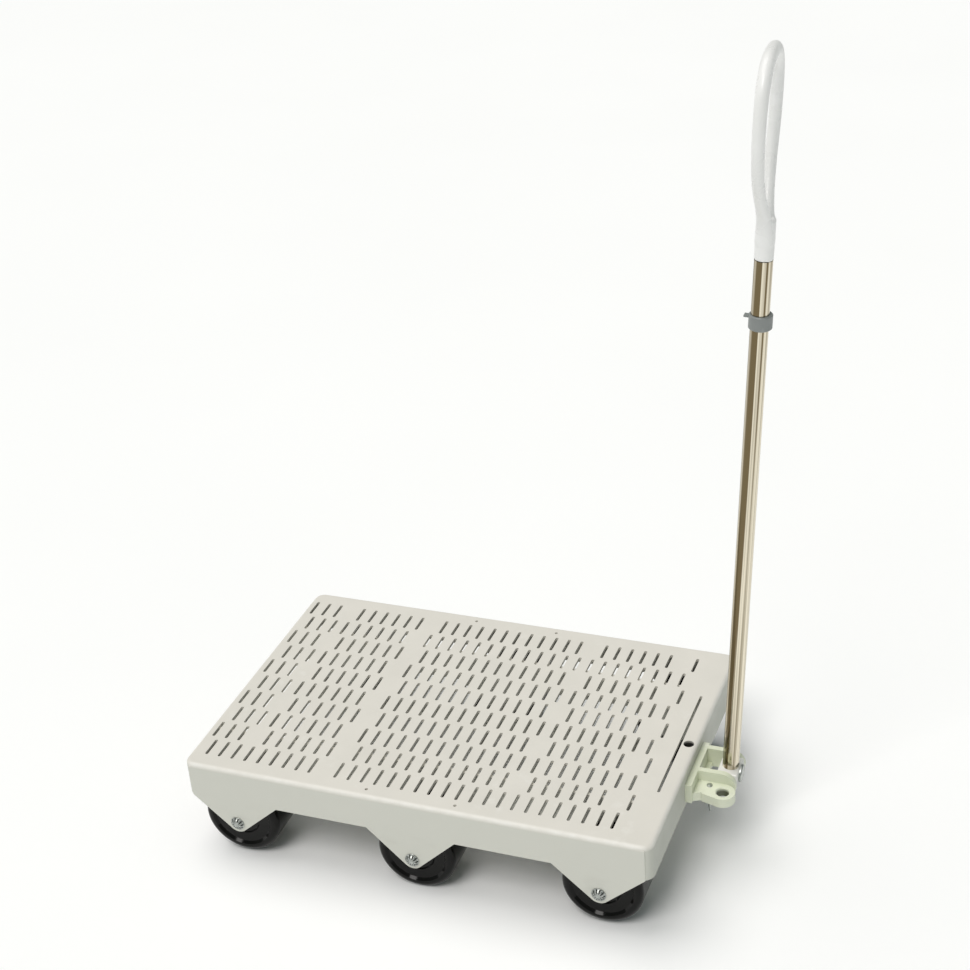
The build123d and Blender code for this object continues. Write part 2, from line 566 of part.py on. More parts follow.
def grip_outline():
    """Racket-shaped outside of the grip on the Y-height plane: stem, flare, widest place, crown."""
    stem = GRIP_STEM_DIAMETER / 2
    start = (stem, GRIP_STEM_LENGTH)
    flare = (stem + GRIP_FLARE_OUT, GRIP_CROTCH + GRIP_FLARE_RISE)
    shoulder = (GRIP_HALF_WIDTH * GRIP_SHOULDER, GRIP_HEIGHT - GRIP_SHOULDER_DROP)
    curve = Spline(
        start, flare, (GRIP_HALF_WIDTH, GRIP_WIDEST), shoulder, (0, GRIP_HEIGHT), tangents=((0, 1), (-1, 0)))
    return mirrored(curve, [(0, 0), (stem, 0), start])


def grip_window():
    """Drop-shaped opening of the grip, one limb inside its outline."""
    half = GRIP_HALF_WIDTH - GRIP_LIMB
    top = GRIP_HEIGHT - GRIP_TOP_BAR
    crotch = (0, GRIP_CROTCH)
    flare = (GRIP_WINDOW_FLARE_OUT, GRIP_CROTCH + GRIP_WINDOW_FLARE_RISE)
    shoulder = (half * GRIP_SHOULDER, top - GRIP_WINDOW_SHOULDER_DROP)
    curve = Spline(crotch, flare, (half, GRIP_WIDEST), shoulder, (0, top), tangents=((1, 0), (-1, 0)))
    return mirrored(curve, [crotch])


def grip():
    """White closed-loop grip with a plug that goes inside the upper tube."""
    plane = Plane(origin=(-GRIP_THICKNESS / 2, 0, GRIP_PLACE), x_dir=(0, 1, 0), z_dir=(1, 0, 0))
    body = extrude(plane * (grip_outline() - grip_window()), GRIP_THICKNESS)
    body = fillet(body.faces().filter_by(Axis.X).edges(), GRIP_EDGE)
    align = (Align.CENTER, Align.CENTER, Align.MIN)
    body += Pos(0, 0, GRIP_PLACE) * Cylinder(GRIP_STEM_DIAMETER / 2, GRIP_CROTCH / 2, align=align)
    body += Pos(0, 0, GRIP_PLACE - GRIP_PLUG_LENGTH) * Cylinder(SPIGOT_DIAMETER / 2, GRIP_PLUG_LENGTH, align=align)
    return Rot(0, 0, GRIP_TWIST) * body


# ------------------------------------------------------------------ whole cart


def handle_nodes():
    """Pieces of the handle, leant out about the pivot and moved to it."""
    place = Pos(PIVOT.X, PIVOT.Y, PIVOT.Z) * Rot(0, HANDLE_LEAN, 0)
    pieces = {
        "handle_knuckle": knuckle(), "knuckle_cap_screw": cap_screw(),
        "lower_tube": lower_tube(), "upper_tube": upper_tube(),
        "joint_sleeve": joint_sleeve(), "tube_collar": tube_collar(), "handle_grip": grip()}
    return {name: place * piece for name, piece in pieces.items()}


def cart_nodes():
    """Every node of the cart, laid out from the middle of the deck."""
    nodes = {"deck": deck()}
    for station, x in STATIONS.items():
        z = axle_height(station)
        nodes["axle_" + station] = axle(station)
        nodes["star_locks_" + station] = Compound([star_lock(x, z, side) for side in (-1, 1)])
        nodes["spacers_" + station] = Compound(spacers(station))
        nodes["wheel_" + station + "_near"] = wheel(station, -1)
        nodes["wheel_" + station + "_far"] = wheel(station, 1)
    nodes["handle_bracket"] = bracket()
    nodes["bracket_screws"] = Compound(bracket_screws())
    nodes["bracket_lock_pin"] = lock_pin()
    nodes["pivot_pin"] = pivot_pin()
    nodes["pivot_cap"] = pivot_cap()
    nodes.update(handle_nodes())
    return nodes


def main():
    os.makedirs("parts", exist_ok=True)
    nodes = cart_nodes()
    box = Compound(list(nodes.values())).bounding_box()
    centre = (box.min.X + box.max.X) / 2
    for name, piece in nodes.items():
        export_step(Pos(-centre, 0, 0) * piece, "parts/" + name + ".step")
    print("deck middle at x =", round(-centre, 3), "pivot at", round(PIVOT.X - centre, 3), round(PIVOT.Z, 3))
    print("size", box.size)


main()
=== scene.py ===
import json
import math
import bpy
import numpy as np
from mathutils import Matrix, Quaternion, Vector


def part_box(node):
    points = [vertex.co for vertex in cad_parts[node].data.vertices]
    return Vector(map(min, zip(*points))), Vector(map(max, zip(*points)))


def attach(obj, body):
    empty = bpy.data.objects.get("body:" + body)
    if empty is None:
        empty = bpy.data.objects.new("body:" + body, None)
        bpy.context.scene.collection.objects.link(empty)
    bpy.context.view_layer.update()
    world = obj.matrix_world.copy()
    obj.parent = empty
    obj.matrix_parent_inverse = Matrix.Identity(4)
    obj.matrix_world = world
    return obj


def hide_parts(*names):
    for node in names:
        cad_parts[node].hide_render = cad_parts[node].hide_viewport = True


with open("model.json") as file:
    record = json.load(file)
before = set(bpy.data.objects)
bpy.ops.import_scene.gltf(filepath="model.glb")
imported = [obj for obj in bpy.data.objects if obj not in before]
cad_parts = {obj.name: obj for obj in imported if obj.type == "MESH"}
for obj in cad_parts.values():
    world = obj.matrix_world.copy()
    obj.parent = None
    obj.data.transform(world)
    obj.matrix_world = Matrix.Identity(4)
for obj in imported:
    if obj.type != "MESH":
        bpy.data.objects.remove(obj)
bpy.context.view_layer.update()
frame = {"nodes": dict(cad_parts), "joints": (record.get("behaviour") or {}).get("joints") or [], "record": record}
NODES = frame["nodes"]
JOINTS = {joint["name"]: joint for joint in frame["joints"]}
PIVOT = Vector(JOINTS["handle_tilt"]["pos_m"])
MOUNTS = {mount["name"]: mount for mount in frame["record"]["mounts"]}
DECK_LOW, DECK_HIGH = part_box("deck")
DECK_MIDDLE = (DECK_LOW + DECK_HIGH) / 2
STATIONS = ("rear", "middle", "front")

# ---- camera, round the middle of the cart ----
VIEW_AZIMUTH = 22.71
VIEW_ELEVATION = 29.18
VIEW_ROLL = -4.5
VIEW_DISTANCE = 2.2089
VIEW_TARGET = (-0.00187, 0.0, 0.46421)
SENSOR = 36.0
LENS = 69.96

# ---- light: suns by the direction they come from, strength, angular size in degrees and colour ----
KEY_SUN = ((-0.08, -0.56, 0.82), 1.39, 28, (1.0, 0.97, 0.95))
TOP_SUN = ((-0.35, 0.10, 1.0), 1.42, 50, (1.0, 0.965, 0.95))
SURROUND_STRENGTH = 0.26
SURROUND_TONE = (0.90, 1.0, 0.97, 1)
BACKDROP_STRENGTH = 1.0
BACKDROP_TONE = (0.97, 0.97, 0.965, 1)  # what the camera sees past the floor's edge
FLOOR_SIZE = 400.0              # half the floor's side, in metres
FLOOR_TONE = (0.978, 0.984, 0.985)
FLOOR_DARKER = (0.968, 0.974, 0.975)

# ---- finishes: colours are linear, widths are in metres ----
DECK_TONE = (0.725, 0.70, 0.64)
DECK_DARKER = (0.70, 0.677, 0.618)
DECK_RUBBED = (0.75, 0.73, 0.675)
# painted highlight along the pale edges round the deck's top
DECK_EDGE_PAINTED_HIGHLIGHT = (0.82, 0.81, 0.77)
# painted shade: the skirts duller than the top
DECK_SKIRT_PAINTED_SHADE = (0.61, 0.615, 0.555)
# painted shade: the end faces darker than the skirts
DECK_END_PAINTED_SHADE = (0.52, 0.53, 0.47)
DECK_SCUFF = (0.42, 0.40, 0.35)
PAINTED_SHADE_SHARE = 0.85             # how far the skirts and ends go over to their painted shade
SKIRT_SHADE_FADE = (0.007, 0.003)     # below the deck's top: from here to here the skirts' painted shade gives way
END_SHADE_FADE = (0.010, 0.003)       # in from the end faces: from here to here their painted shade comes in
HIGHLIGHT_INWARD = (0.005, 0.001)    # painted highlight along the edge, in from the side and end faces
HIGHLIGHT_DOWN = (0.006, 0.002)      # painted highlight along the edge, below the deck's top
SCUFF_HEIGHT = 0.06             # how far scuffs climb from the deck's lowest point
WHEEL_TONE = (0.0045, 0.0042, 0.0036)
WHEEL_DARKER = (0.0030, 0.0030, 0.0026)
WHEEL_RUBBED = (0.014, 0.013, 0.011)
WHEEL_SPECULAR = 0.18
# painted reflections on the polished tube: cream bands and brown bands
TUBE_PAINTED_BRIGHT_REFLECTION = (0.82, 0.755, 0.61)
TUBE_PAINTED_DARK_REFLECTION = (0.17, 0.13, 0.070)
TUBE_DRAWN = (1, 1, 0.003)      # draws the tube's painted reflection bands out along it
# painted shade inside hollows: the coupling hole's bore and the slots of the star-lock caps
HOLLOW_PAINTED_SHADE = (0.030, 0.029, 0.026)
# painted shade inside the lug's bore
LUG_BORE_PAINTED_SHADE = (0.10, 0.11, 0.06)
BORE_SKIN = 0.00015             # how far the painted shade in a bore reaches into its wall
BORE_MOUTH = (0.004, 0.0005)    # below a bore's mouth: from here to here the painted shade gives way
BRACKET_NYLON = ((0.74, 0.77, 0.62), (0.84, 0.86, 0.77), (0.66, 0.70, 0.53), (0.28, 0.42), 700, 0.00006)
NYLON_GLOW = 0.12
NYLON_DEPTH = (0.004, 0.004, 0.003)
PLAIN_PLASTICS = {              # tone, rubbed and darker tones, two roughnesses, skin cells per metre, relief
    "spacer_plastic": ((0.06, 0.06, 0.06), (0.14, 0.14, 0.13), (0.09, 0.09, 0.08), (0.4, 0.55), 800, 0.00005),
    "knuckle_plastic": (
        (0.80, 0.80, 0.77), (0.86, 0.86, 0.84), (0.75, 0.745, 0.70), (0.28, 0.42), 700, 0.00004),
    "collar_plastic": (
        (0.25, 0.265, 0.26), (0.45, 0.47, 0.46), (0.21, 0.225, 0.22), (0.35, 0.5), 800, 0.00006),
    "grip_plastic": (
        (0.87, 0.87, 0.86), (0.90, 0.90, 0.895), (0.835, 0.835, 0.82), (0.24, 0.38), 650, 0.00003)}
METALS = {                      # tone, dark tone, two roughnesses, stretch of the streaks, relief
    "axle_steel": ((0.60, 0.59, 0.57), (0.38, 0.36, 0.33), (0.24, 0.40), (1, 0.06, 1), 0.00003),
    "zinc": ((0.52, 0.54, 0.52), (0.34, 0.36, 0.34), (0.26, 0.42), (1, 1, 1), 0.00004)}

# ---- grip, in metres, measured up the handle from its foot ----
GRIP_LINE = (                   # middle line of one limb: out from the stem's line, and up
    (0.0040, 0.018), (0.0050, 0.032), (0.0085, 0.046), (0.0180, 0.061), (0.0300, 0.080), (0.0430, 0.105),
    (0.0530, 0.138), (0.0535, 0.168), (0.0460, 0.195), (0.0280, 0.2125), (0.0, 0.2170))
LIMB_WIDE = 0.0070              # half width of a limb, across the hand
LIMB_DEEP = 0.0066              # half depth of a limb, front to back
CROWN_WIDE = 0.0085             # the same two halves at the loop's crown
CROWN_DEEP = 0.0075
GRIP_SET_BACK = 0.0052          # how far the loop stands back from the stem's line, towards the deck
STEM_RADIUS = 0.0104
STEM_LENGTH = 0.045
STEM_FLARE = 0.003              # how much wider the stem is at its top
STEM_ROWS = 40
LOOP_ROWS = 260
SET_BACK_BY = 0.45              # share of the loop's height by which it stands fully back
SLIM_BY = 0.26                  # share of the loop's height by which it has slimmed from the stem's depth
SECTION_POINTS = 32
GRIP_TWIST = math.radians(4.0)
GRIP_VOXEL = 0.0011
GRIP_RELAX = 16                 # relaxing steps after the remesh
TUBE_END_RISE = 0.0006          # a leaning tube's top edge stands this much above its middle

# ---- star-lock caps, shares of a cap's radius and heights in metres ----
CAP_TEETH = 10
CAP_DOME_EDGE = 0.60
CAP_RIM_START = 0.88
CAP_RIM_HEIGHT = 0.0012
CAP_SLOT_DEPTH = 0.0010
CAP_MIDDLE = 0.02
CAP_SLOT_START = 0.28
CAP_SLOT_END = 0.94
CAP_SLOT_RISE = 0.1
CAP_SLOT_FALL = 0.06
CAP_SLOT_SIDES = (0.1, 0.6)     # the slot's sides slope while cos(teeth * angle) goes between these
CAP_ROWS = 36
CAP_COLUMNS = 160


# ---------------------------------------------------------------- finishes


class Finish:
    """A material under making: its node tree, its surface shader and its Object coordinates."""

    def __init__(self, name, roughness, metallic=0.0):
        self.material = bpy.data.materials.new(name)
        self.material.use_nodes = True
        self.tree = self.material.node_tree
        self.shader = self.tree.nodes["Principled BSDF"]
        self.shader.inputs["Roughness"].default_value = roughness
        self.shader.inputs["Metallic"].default_value = metallic
        self.place = self.tree.nodes.new("ShaderNodeTexCoord").outputs["Object"]

    def link(self, output, target):
        """Joins an output to an input."""
        self.tree.links.new(output, target)

    def turn(self, about_y):
        """Turns the coordinates about Y, so that a leaning bar's own length becomes Z."""
        mapping = self.tree.nodes.new("ShaderNodeMapping")
        mapping.inputs["Rotation"].default_value = (0, about_y, 0)
        self.link(self.place, mapping.inputs["Vector"])
        self.place = mapping.outputs["Vector"]

    def noise(self, scale, detail=3.0, stretch=(1, 1, 1)):
        """Cloudy pattern in 0..1, scale in cells per metre, drawn out along an axis by a small stretch."""
        mapping = self.tree.nodes.new("ShaderNodeMapping")
        mapping.inputs["Scale"].default_value = stretch
        self.link(self.place, mapping.inputs["Vector"])
        node = self.tree.nodes.new("ShaderNodeTexNoise")
        node.inputs["Scale"].default_value = scale
        node.inputs["Detail"].default_value = detail
        self.link(mapping.outputs["Vector"], node.inputs["Vector"])
        return node.outputs["Fac"]

    def spread(self, value, low, high, start=0.35, end=0.65):
        """Carries a pattern from start..end over to low..high."""
        node = self.tree.nodes.new("ShaderNodeMapRange")
        node.inputs["From Min"].default_value = start
        node.inputs["From Max"].default_value = end
        node.inputs["To Min"].default_value = low
        node.inputs["To Max"].default_value = high
        self.link(value, node.inputs["Value"])
        return node.outputs["Result"]

    def combine(self, first, second, operation="MULTIPLY"):
        """Product of two values, or what another operation makes of them, kept in 0..1."""
        node = self.tree.nodes.new("ShaderNodeMath")
        node.operation = operation
        node.use_clamp = True
        self.link(first, node.inputs[0])
        self.link(second, node.inputs[1])
        return node.outputs["Value"]

    def blend(self, share, first, second):
        """Mixes two colours; either may be a colour or the output of another mix."""
        node = self.tree.nodes.new("ShaderNodeMix")
        node.data_type = "RGBA"
        self.link(share, node.inputs["Factor"])
        for colour, socket in ((first, 6), (second, 7)):
            if isinstance(colour, tuple):
                node.inputs[socket].default_value = (*colour, 1.0)
            else:
                self.link(colour, node.inputs[socket])
        return node.outputs[2]

    def axis(self, name):
        """One Object coordinate, in metres."""
        node = self.tree.nodes.new("ShaderNodeSeparateXYZ")
        self.link(self.place, node.inputs["Vector"])
        return node.outputs[name]

    def distance_from(self, name, middle):
        """Distance along one axis from a plane, in metres."""
        away = self.tree.nodes.new("ShaderNodeMath")
        away.operation = "SUBTRACT"
        away.inputs[1].default_value = middle
        self.link(self.axis(name), away.inputs[0])
        size = self.tree.nodes.new("ShaderNodeMath")
        size.operation = "ABSOLUTE"
        self.link(away.outputs["Value"], size.inputs[0])
        return size.outputs["Value"]

    def inside_bore(self, mount):
        """1 inside an upright bore of the record and below its mouth, 0 elsewhere."""
        x, y, z = mount["pos_m"]
        radius, half = mount["dims"]["r_mm"] / 1000 + BORE_SKIN, mount["dims"]["length_mm"] / 2000
        flat = self.tree.nodes.new("ShaderNodeVectorMath")
        flat.operation = "MULTIPLY"
        flat.inputs[1].default_value = (1, 1, 0)
        self.link(self.place, flat.inputs[0])
        away = self.tree.nodes.new("ShaderNodeVectorMath")
        away.operation = "DISTANCE"
        away.inputs[1].default_value = (x, y, 0)
        self.link(flat.outputs["Vector"], away.inputs[0])
        near = self.spread(away.outputs["Value"], 1, 0, radius, radius + BORE_SKIN)
        mouth = z + half
        below = self.spread(self.axis("Z"), 1, 0, mouth - BORE_MOUTH[0], mouth - BORE_MOUTH[1])
        return self.combine(near, below)

    def attribute(self, name):
        """A piece's own painted value; nought on a piece that has none."""
        node = self.tree.nodes.new("ShaderNodeAttribute")
        node.attribute_name = name
        return node.outputs["Fac"]

    def colour(self, output):
        """Gives the surface its colour."""
        self.link(output, self.shader.inputs["Base Color"])

    def roughness(self, output):
        """Gives the surface its roughness."""
        self.link(output, self.shader.inputs["Roughness"])

    def bump(self, height, depth):
        """Relief from a pattern, depth in metres."""
        node = self.tree.nodes.new("ShaderNodeBump")
        node.inputs["Distance"].default_value = depth
        self.link(height, node.inputs["Height"])
        self.link(node.outputs["Normal"], self.shader.inputs["Normal"])


def moulded(name, base, rubbed, darker, gloss, skin, relief):
    """Moulded plastic: cloudy tone, rubbed spots, uneven gloss between two roughnesses, and the mould's
    fine skin, in cells per metre and metres of relief. Returns the finish and its tone, for more to be laid on."""
    finish = Finish(name, gloss[0])
    tone = finish.blend(finish.spread(finish.noise(14, 4), 0, 1), base, darker)
    patches = finish.spread(finish.noise(9), 0, 1, 0.5, 0.62)
    spots = finish.combine(finish.spread(finish.noise(55, 5), 0, 1, 0.58, 0.72), patches)
    tone = finish.blend(spots, tone, rubbed)
    finish.colour(tone)
    finish.roughness(finish.spread(finish.noise(38, 4), *gloss))
    finish.bump(finish.noise(skin, 2), relief)
    return finish, tone


def deck_plastic():
    """Warm grey deck: mould skin, painted shade on the skirts and end faces, a painted highlight along the pale
    edges round the top, darker scuffs low on the skirts.
    """
    finish, tone = moulded(
        "deck_plastic_finish", DECK_TONE, DECK_RUBBED, DECK_DARKER, (0.42, 0.56), 900, 0.00010)
    half, top = (DECK_HIGH - DECK_LOW) / 2, DECK_HIGH.z

    def near_faces(name, middle, out, fade):
        """Rises from 0 to 1 towards the two faces across one axis."""
        return finish.spread(finish.distance_from(name, middle), 0, 1, out - fade[0], out - fade[1])

    # painted shade: the skirts duller than the top, the end faces darker still
    below = finish.spread(finish.axis("Z"), PAINTED_SHADE_SHARE, 0, top - SKIRT_SHADE_FADE[0], top - SKIRT_SHADE_FADE[1])
    tone = finish.blend(below, tone, DECK_SKIRT_PAINTED_SHADE)
    end_shade = near_faces("X", DECK_MIDDLE.x, half.x, END_SHADE_FADE)
    tone = finish.blend(finish.combine(end_shade, below), tone, DECK_END_PAINTED_SHADE)
    # painted highlight along the edges round the top
    near_end = near_faces("X", DECK_MIDDLE.x, half.x, HIGHLIGHT_INWARD)
    near_side = near_faces("Y", DECK_MIDDLE.y, half.y, HIGHLIGHT_INWARD)
    near_top = finish.spread(finish.axis("Z"), 0, 1, top - HIGHLIGHT_DOWN[0], top - HIGHLIGHT_DOWN[1])
    edge = finish.combine(finish.combine(near_end, near_side, "MAXIMUM"), near_top)
    edge = finish.combine(edge, finish.spread(finish.noise(70, 4), 0.35, 0.75))
    tone = finish.blend(edge, tone, DECK_EDGE_PAINTED_HIGHLIGHT)
    low = finish.spread(finish.axis("Z"), 1, 0, DECK_LOW.z, DECK_LOW.z + SCUFF_HEIGHT)
    scuff = finish.combine(low, finish.spread(finish.noise(26, 6, (1, 1, 2.5)), 0, 0.35, 0.5, 0.7))
    tone = finish.blend(scuff, tone, DECK_SCUFF)
    # painted shade inside the coupling hole's bore
    finish.colour(finish.blend(finish.inside_bore(MOUNTS["coupling_hole"]), tone, HOLLOW_PAINTED_SHADE))
    return finish.material


def wheel_plastic():
    """Deep glossy black, with faint rubbed patches."""
    finish, _ = moulded(
        "wheel_plastic_finish", WHEEL_TONE, WHEEL_RUBBED, WHEEL_DARKER, (0.07, 0.14), 600, 0.00001)
    finish.shader.inputs["Specular IOR Level"].default_value = WHEEL_SPECULAR
    return finish.material


def metal(name, base, dark, gloss, stretch, relief):
    """Bare or plated steel: tone and gloss drawn out along the bar, small dark marks, and painted shade in
    hollows.
    """
    finish = Finish(name, gloss[0], 1.0)
    streaks = finish.noise(240, 5, stretch)
    tone = finish.blend(finish.spread(streaks, 0, 1), base, dark)
    spots = finish.spread(finish.noise(170, 6), 0, 0.5, 0.62, 0.75)
    tone = finish.blend(spots, tone, dark)
    # painted shade in hollows, where a piece carries its own values for it
    finish.colour(finish.blend(finish.attribute("soil"), tone, HOLLOW_PAINTED_SHADE))
    finish.roughness(finish.spread(finish.noise(90, 4, stretch), *gloss))
    finish.bump(streaks, relief)
    return finish.material


def tube_steel():
    """Polished tube: painted reflections as cream and brown bands drawn along it, with finer lines inside them."""
    finish = Finish("tube_steel_finish", 0.14, 1.0)
    tube_low, tube_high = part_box("lower_tube")
    middle = (tube_low + tube_high) / 2
    finish.turn(-math.atan2(middle.x - PIVOT.x, middle.z - PIVOT.z))
    # painted reflections: cream and brown bands, with finer brown lines
    bands = finish.spread(finish.noise(230, 2, TUBE_DRAWN), 0, 1, 0.44, 0.56)
    lines = finish.spread(finish.noise(620, 3, TUBE_DRAWN), 0, 0.55, 0.45, 0.62)
    tone = finish.blend(bands, TUBE_PAINTED_BRIGHT_REFLECTION, TUBE_PAINTED_DARK_REFLECTION)
    finish.colour(finish.blend(lines, tone, TUBE_PAINTED_DARK_REFLECTION))
    finish.roughness(finish.spread(finish.noise(90, 4, (1, 1, 0.02)), 0.10, 0.20))
    return finish.material


def bracket_nylon():
    """Natural nylon: pale, a little green, and slightly see-through, with painted shade inside the lug's bore."""
    finish, tone = moulded("bracket_nylon_finish", *BRACKET_NYLON)
    # painted shade inside the lug's bore
    finish.colour(finish.blend(finish.inside_bore(MOUNTS["lug_hole"]), tone, LUG_BORE_PAINTED_SHADE))
    finish.shader.inputs["Subsurface Weight"].default_value = NYLON_GLOW
    finish.shader.inputs["Subsurface Radius"].default_value = NYLON_DEPTH
    return finish.material


def make_finishes():
    """One material for each of the record's slots."""
    made = {slot: moulded(slot + "_finish", *values)[0].material for slot, values in PLAIN_PLASTICS.items()}
    made.update({slot: metal(slot + "_finish", *values) for slot, values in METALS.items()})
    made["deck_plastic"] = deck_plastic()
    made["wheel_plastic"] = wheel_plastic()
    made["bracket_nylon"] = bracket_nylon()
    made["tube_steel"] = tube_steel()
    return made


def dress_nodes(finishes):
    """Gives every CAD node the finish of its slot."""
    for row in frame["record"]["subparts"]:
        slots = NODES[row["node"]].data.materials
        slots.clear()
        slots.append(finishes[row["material_slot"]])


# ---------------------------------------------------------------- shapes


def grid_shell(points, close_around=True, cap=True):
    """Points and faces of a grid: rows along the path, columns around the section, ends closed by fans."""
    rows, columns = points.shape[:2]
    index = np.arange(rows * columns).reshape(rows, columns)
    after = np.roll(index, -1, axis=1)
    if not close_around:
        index, after = index[:, :-1], index[:, 1:]
    quads = np.stack([index[:-1], after[:-1], after[1:], index[1:]], axis=-1).reshape(-1, 4)
    vertices = points.reshape(-1, 3)
    faces = quads.tolist()
    if cap:
        vertices = np.vstack([vertices, points[0].mean(0), points[-1].mean(0)])
        first, last = rows * columns, rows * columns + 1
        faces += np.stack([after[0], index[0], np.full(columns, first)], axis=-1).tolist()
        faces += np.stack([index[-1], after[-1], np.full(columns, last)], axis=-1).tolist()
    return vertices, faces


def new_piece(name, shells):
    """Object at the origin with one mesh made from several shells."""
    faces, start = [], 0
    for vertices, shell_faces in shells:
        faces += [[start + corner for corner in face] for face in shell_faces]
        start += len(vertices)
    mesh = bpy.data.meshes.new(name)
    mesh.from_pydata(np.vstack([vertices for vertices, _ in shells]).tolist(), [], faces)
    mesh.update()
    piece = bpy.data.objects.new(name, mesh)
    bpy.context.scene.collection.objects.link(piece)
    return piece


def tube_along(path, wide, deep, side):
    """Oval section carried along a path: point + wide * cos(a) * sideways + deep * sin(a) * side.
    Sideways is the cross product of side and the path's direction."""
    along = np.gradient(path, axis=0)
    along /= np.linalg.norm(along, axis=1, keepdims=True)
    sideways = np.cross(np.broadcast_to(side, along.shape), along)
    sideways /= np.linalg.norm(sideways, axis=1, keepdims=True)
    angle = np.linspace(0, 2 * np.pi, SECTION_POINTS, endpoint=False)
    first = wide[:, None, None] * np.cos(angle)[None, :, None] * sideways[:, None, :]
    second = deep[:, None, None] * np.sin(angle)[None, :, None] * side[None, None, :]
    return path[:, None, :] + first + second


def smooth_step(value, start, end):
    """Rises from 0 at start to 1 at end as 3 t t - 2 t t t."""
    t = np.clip((value - start) / (end - start), 0, 1)
    return t * t * (3 - 2 * t)


def handle_frame():
    """Foot of the grip and the directions up the handle, across it and out of it."""
    tube_low, tube_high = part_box("upper_tube")
    middle = (tube_low + tube_high) / 2
    up = Vector((middle.x - PIVOT.x, 0, middle.z - PIVOT.z)).normalized()
    foot = PIVOT + up * ((tube_high.z - PIVOT.z - TUBE_END_RISE) / up.z)
    out = Vector((up.z, 0, -up.x))
    across = Vector((0, 1, 0)) * math.cos(GRIP_TWIST) - out * math.sin(GRIP_TWIST)
    front = out * math.cos(GRIP_TWIST) + Vector((0, 1, 0)) * math.sin(GRIP_TWIST)
    return np.array(foot), np.array(up), np.array(across), np.array(front)


def smooth_line(points, count):
    """Evenly spaced points on cubic arcs through the given points, each arc's end slopes taken from the
    neighbours: a smooth line without corners."""
    points = np.array(points)
    length = np.concatenate([[0], np.cumsum(np.linalg.norm(np.diff(points, axis=0), axis=1))])
    slope = np.gradient(points, length, axis=0)
    at = np.linspace(0, length[-1], count)
    arc = np.clip(np.searchsorted(length, at, side="right") - 1, 0, len(length) - 2)
    span = (length[arc + 1] - length[arc])[:, None]
    t = (at - length[arc])[:, None] / span
    start = (2 * t ** 3 - 3 * t ** 2 + 1) * points[arc] + (t ** 3 - 2 * t ** 2 + t) * span * slope[arc]
    end = (3 * t ** 2 - 2 * t ** 3) * points[arc + 1] + (t ** 3 - t ** 2) * span * slope[arc + 1]
    return start + end


def smooth_skin(piece, voxel, relax_steps):
    """Joins a piece's closed shells into one skin by a fine voxel remesh, and relaxes it."""
    remesh = piece.modifiers.new("skin", "REMESH")
    remesh.mode = "VOXEL"
    remesh.voxel_size = voxel
    relax = piece.modifiers.new("relax", "SMOOTH")
    relax.factor = 0.5
    relax.iterations = relax_steps
    done = bpy.data.meshes.new_from_object(piece.evaluated_get(bpy.context.evaluated_depsgraph_get()))
    piece.modifiers.clear()
    piece.data = done
    done.shade_smooth()


def grip(finish):
    """White grip: a closed loop of oval section on a round stem, in one smooth skin. The section grows
    with the cube of the height. The loop stands back from the stem, and slims from the stem's depth, each by
    a smooth step of the height."""
    foot, up, across, front = handle_frame()
    other_limb = [(-side, height) for side, height in GRIP_LINE[-2::-1]]
    side, height = smooth_line([*GRIP_LINE, *other_limb], LOOP_ROWS).T
    share = (height - height.min()) / (height.max() - height.min())
    set_back = -GRIP_SET_BACK * smooth_step(share, 0, SET_BACK_BY)
    path = foot + side[:, None] * across + height[:, None] * up + set_back[:, None] * front
    wide = LIMB_WIDE + (CROWN_WIDE - LIMB_WIDE) * share ** 3
    deep = LIMB_DEEP + (CROWN_DEEP - LIMB_DEEP) * share ** 3
    deep += (STEM_RADIUS - LIMB_DEEP) * (1 - smooth_step(share, 0, SLIM_BY))
    loop = grid_shell(tube_along(path, wide, deep, front))
    length = np.linspace(0, 1, STEM_ROWS)
    stem_path = foot + (length * STEM_LENGTH)[:, None] * up
    stem_wide = STEM_RADIUS + STEM_FLARE * length ** 3
    stem = grid_shell(tube_along(stem_path, stem_wide, np.full(STEM_ROWS, STEM_RADIUS), front))
    piece = new_piece("grip_moulding", [loop, stem])
    smooth_skin(piece, GRIP_VOXEL, GRIP_RELAX)
    piece.data.materials.append(finish)
    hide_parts("handle_grip")
    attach(piece, "handle")


def cap_relief(radius, height):
    """Rows of radius, heights and slot depths of a cap. The height falls from the dome to the rim by a smooth
    step of the radius. Slots are cut where cos(teeth * angle) is high, between their start and end."""
    share = np.linspace(CAP_MIDDLE, 1, CAP_ROWS)
    angle = np.linspace(0, 2 * np.pi, CAP_COLUMNS, endpoint=False)
    dome = height - (height - CAP_RIM_HEIGHT) * smooth_step(share, CAP_DOME_EDGE, CAP_RIM_START)
    window = smooth_step(share, CAP_SLOT_START, CAP_SLOT_START + CAP_SLOT_RISE)
    window *= 1 - smooth_step(share, CAP_SLOT_END - CAP_SLOT_FALL, CAP_SLOT_END)
    cut = window[:, None] * smooth_step(np.cos(CAP_TEETH * angle), *CAP_SLOT_SIDES)[None, :]
    return share * radius, angle, dome[:, None] - CAP_SLOT_DEPTH * cut, cut


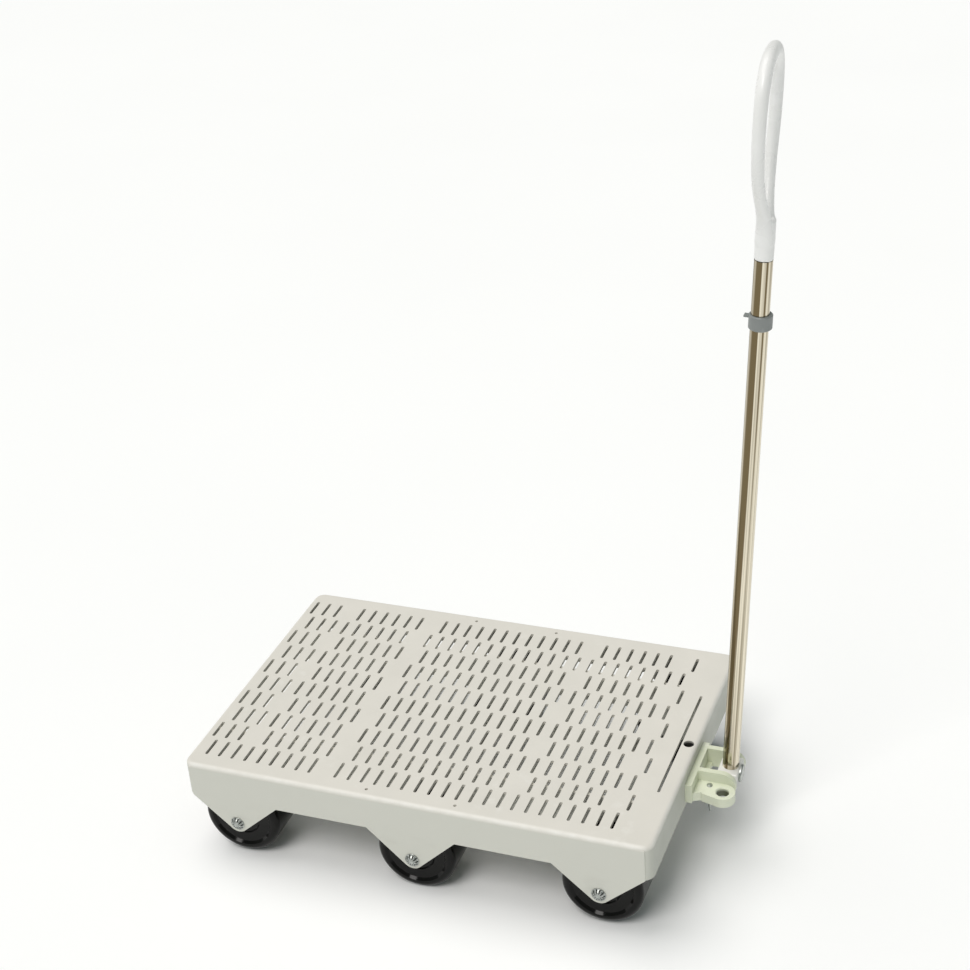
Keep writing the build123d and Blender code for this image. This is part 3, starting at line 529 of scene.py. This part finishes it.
def star_lock_pair(station, finish):
    """The two caps of one axle, each a toothed dome on the deck's side: rows of rings from the middle out
    to the rim, and one more row back on the deck's side."""
    low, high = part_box("star_locks_" + station)
    middle = (low + high) / 2
    radius = (high.z - low.z) / 2
    rings, angle, heights, cut = cap_relief(radius, high.y - DECK_HIGH.y)
    rings = np.append(rings, radius)
    heights = np.vstack([heights, np.zeros(len(angle))])
    cut = np.vstack([cut, np.zeros(len(angle))])
    shells, soil = [], []
    for side, face in ((-1, DECK_LOW.y), (1, DECK_HIGH.y)):
        x = middle.x + rings[:, None] * np.cos(side * angle)[None, :]
        z = middle.z + rings[:, None] * np.sin(side * angle)[None, :]
        shells.append(grid_shell(np.stack([x, face + side * heights, z], axis=-1)))
        soil += [*cut.ravel(), 0.0, 0.0]
    piece = new_piece("star_lock_relief_" + station, shells)
    # painted shade in the slots, stored on the points for the zinc finish to read
    painted = piece.data.attributes.new("soil", "FLOAT", "POINT")
    painted.data.foreach_set("value", np.array(soil, dtype=np.float32))
    piece.data.shade_smooth()
    piece.data.materials.append(finish)
    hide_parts("star_locks_" + station)
    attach(piece, "chassis")


# ---------------------------------------------------------------- stage


def make_floor():
    """Pale floor under the wheels: a flat grid at height nought."""
    reach = np.linspace(-FLOOR_SIZE, FLOOR_SIZE, 3)
    x, y = np.meshgrid(reach, reach)
    floor = new_piece("floor", [grid_shell(np.stack([x, y, np.zeros_like(x)], axis=-1)[::-1], False, False)])
    finish = Finish("floor_finish", 0.8)
    finish.colour(finish.blend(finish.spread(finish.noise(1.5), 0, 1), FLOOR_TONE, FLOOR_DARKER))
    floor.data.materials.append(finish.material)


def sun(name, comes_from, strength, size, colour):
    """Even light from one direction, with soft shadows by its angular size."""
    data = bpy.data.lights.new(name, "SUN")
    data.energy = strength
    data.angle = math.radians(size)
    data.color = colour
    light = bpy.data.objects.new(name, data)
    light.rotation_euler = (-Vector(comes_from)).to_track_quat("-Z", "Y").to_euler()
    bpy.context.scene.collection.objects.link(light)


def make_light():
    """Soft studio light: a broad key from the front and above, a broader one overhead, and a dim surround
    that looks pale to the camera, so that no grey band shows above the floor's edge in a low view."""
    sun("key", *KEY_SUN)
    sun("top", *TOP_SUN)
    world = bpy.data.worlds.new("surround")
    world.use_nodes = True
    nodes, links = world.node_tree.nodes, world.node_tree.links
    glow = nodes["Background"]
    glow.inputs["Color"].default_value = SURROUND_TONE
    glow.inputs["Strength"].default_value = SURROUND_STRENGTH
    backdrop = nodes.new("ShaderNodeBackground")
    backdrop.inputs["Color"].default_value = BACKDROP_TONE
    backdrop.inputs["Strength"].default_value = BACKDROP_STRENGTH
    seen = nodes.new("ShaderNodeLightPath")
    either = nodes.new("ShaderNodeMixShader")
    links.new(seen.outputs["Is Camera Ray"], either.inputs[0])
    links.new(glow.outputs[0], either.inputs[1])
    links.new(backdrop.outputs[0], either.inputs[2])
    links.new(either.outputs[0], nodes["World Output"].inputs["Surface"])
    bpy.context.scene.world = world


def make_camera():
    """Camera round the middle of the cart, from its azimuth, elevation, distance and roll."""
    azimuth, elevation = math.radians(VIEW_AZIMUTH), math.radians(VIEW_ELEVATION)
    back = Vector((
        math.sin(azimuth) * math.cos(elevation), -math.cos(azimuth) * math.cos(elevation), math.sin(elevation)))
    data = bpy.data.cameras.new("camera")
    data.sensor_width = SENSOR
    data.lens = LENS
    camera = bpy.data.objects.new("camera", data)
    bpy.context.scene.collection.objects.link(camera)
    camera.location = Vector(VIEW_TARGET) + back * VIEW_DISTANCE
    roll = Quaternion((0, 0, 1), math.radians(VIEW_ROLL))
    camera.rotation_mode = "QUATERNION"
    camera.rotation_quaternion = (-back).to_track_quat("-Z", "Y") @ roll
    bpy.context.scene.camera = camera


finishes = make_finishes()
dress_nodes(finishes)
grip(finishes["grip_plastic"])
for station in STATIONS:
    star_lock_pair(station, finishes["zinc"])
make_floor()
make_light()
make_camera()
bpy.context.scene.view_settings.view_transform = "Standard"
